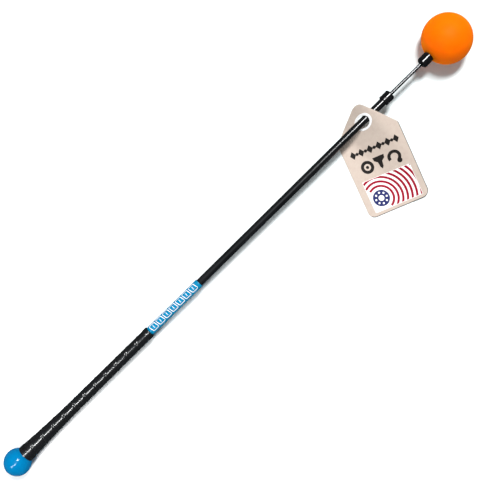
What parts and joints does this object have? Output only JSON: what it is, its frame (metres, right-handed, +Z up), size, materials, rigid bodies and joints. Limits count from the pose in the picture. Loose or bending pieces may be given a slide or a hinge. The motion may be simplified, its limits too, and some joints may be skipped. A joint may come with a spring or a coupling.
{
  "type": "swing trainer stick",
  "caption": "Flexible golf swing trainer: tapered shaft, spiral-wrapped grip with a small blue counterweight ball, weighted orange ball on a steel rod, and a hang tag.",
  "frame": {"origin": "on the stick's axis, at the middle of the hand grip", "axes": "+X from the butt ball towards the head ball, +Z up with the stick lying on its two balls, so that the stick's own axis climbs 1.09 degrees towards +X; the hang tag reaches out to -Y"},
  "size_m": [0.9019, 0.1747, 0.0715],
  "materials": {
    "blue_urethane": "gloss",
    "orange_urethane": "satin",
    "weight_steel": "satin",
    "zinc_steel": "satin",
    "insert_aluminium": "satin",
    "grip_rubber": "satin",
    "underlay_rubber": "matte",
    "tape": "matte",
    "label_film": "satin",
    "shaft_glassfibre": "gloss",
    "collar_black": "gloss",
    "polished_steel": "polished",
    "card": "matte",
    "ring_paper": "matte"
  },
  "bodies": {
    "handle": {"butt_ball": "blue_urethane", "butt_weight": "weight_steel", "butt_stud": "zinc_steel", "butt_washer": "zinc_steel", "butt_insert": "insert_aluminium", "grip_cap": "grip_rubber", "grip_tape": "tape", "grip_sleeve": "underlay_rubber", "grip_wrap": "grip_rubber", "grip_band": "grip_rubber", "label_sleeve": "label_film", "shaft": "shaft_glassfibre"},
    "tip": {"tip_ferrule": "collar_black", "tip_insert": "insert_aluminium", "tip_rod": "polished_steel", "rod_pin": "zinc_steel", "head_collar": "collar_black", "head_jam_nut": "zinc_steel", "head_washer": "zinc_steel", "head_weight": "weight_steel", "head_lock_nut": "zinc_steel", "head_ball": "orange_urethane"},
    "tag": {"tag_card": "card", "tag_ring_front": "ring_paper", "tag_ring_back": "ring_paper"}
  },
  "joints": [
    {"name": "shaft_flex", "type": "hinge", "parent": "handle", "child": "tip", "pos_m": [0.34194, 0, 0.00648], "axis": [0, 0, 1], "range_deg": [-20, 20], "stiffness_Nm_per_rad": 55, "deforming": ["shaft"]},
    {"name": "tag_swing", "type": "hinge", "parent": "tip", "child": "tag", "pos_m": [0.5421, 0, 0.01028], "axis": [0.9998, 0, 0.019], "continuous": true}
  ]
}
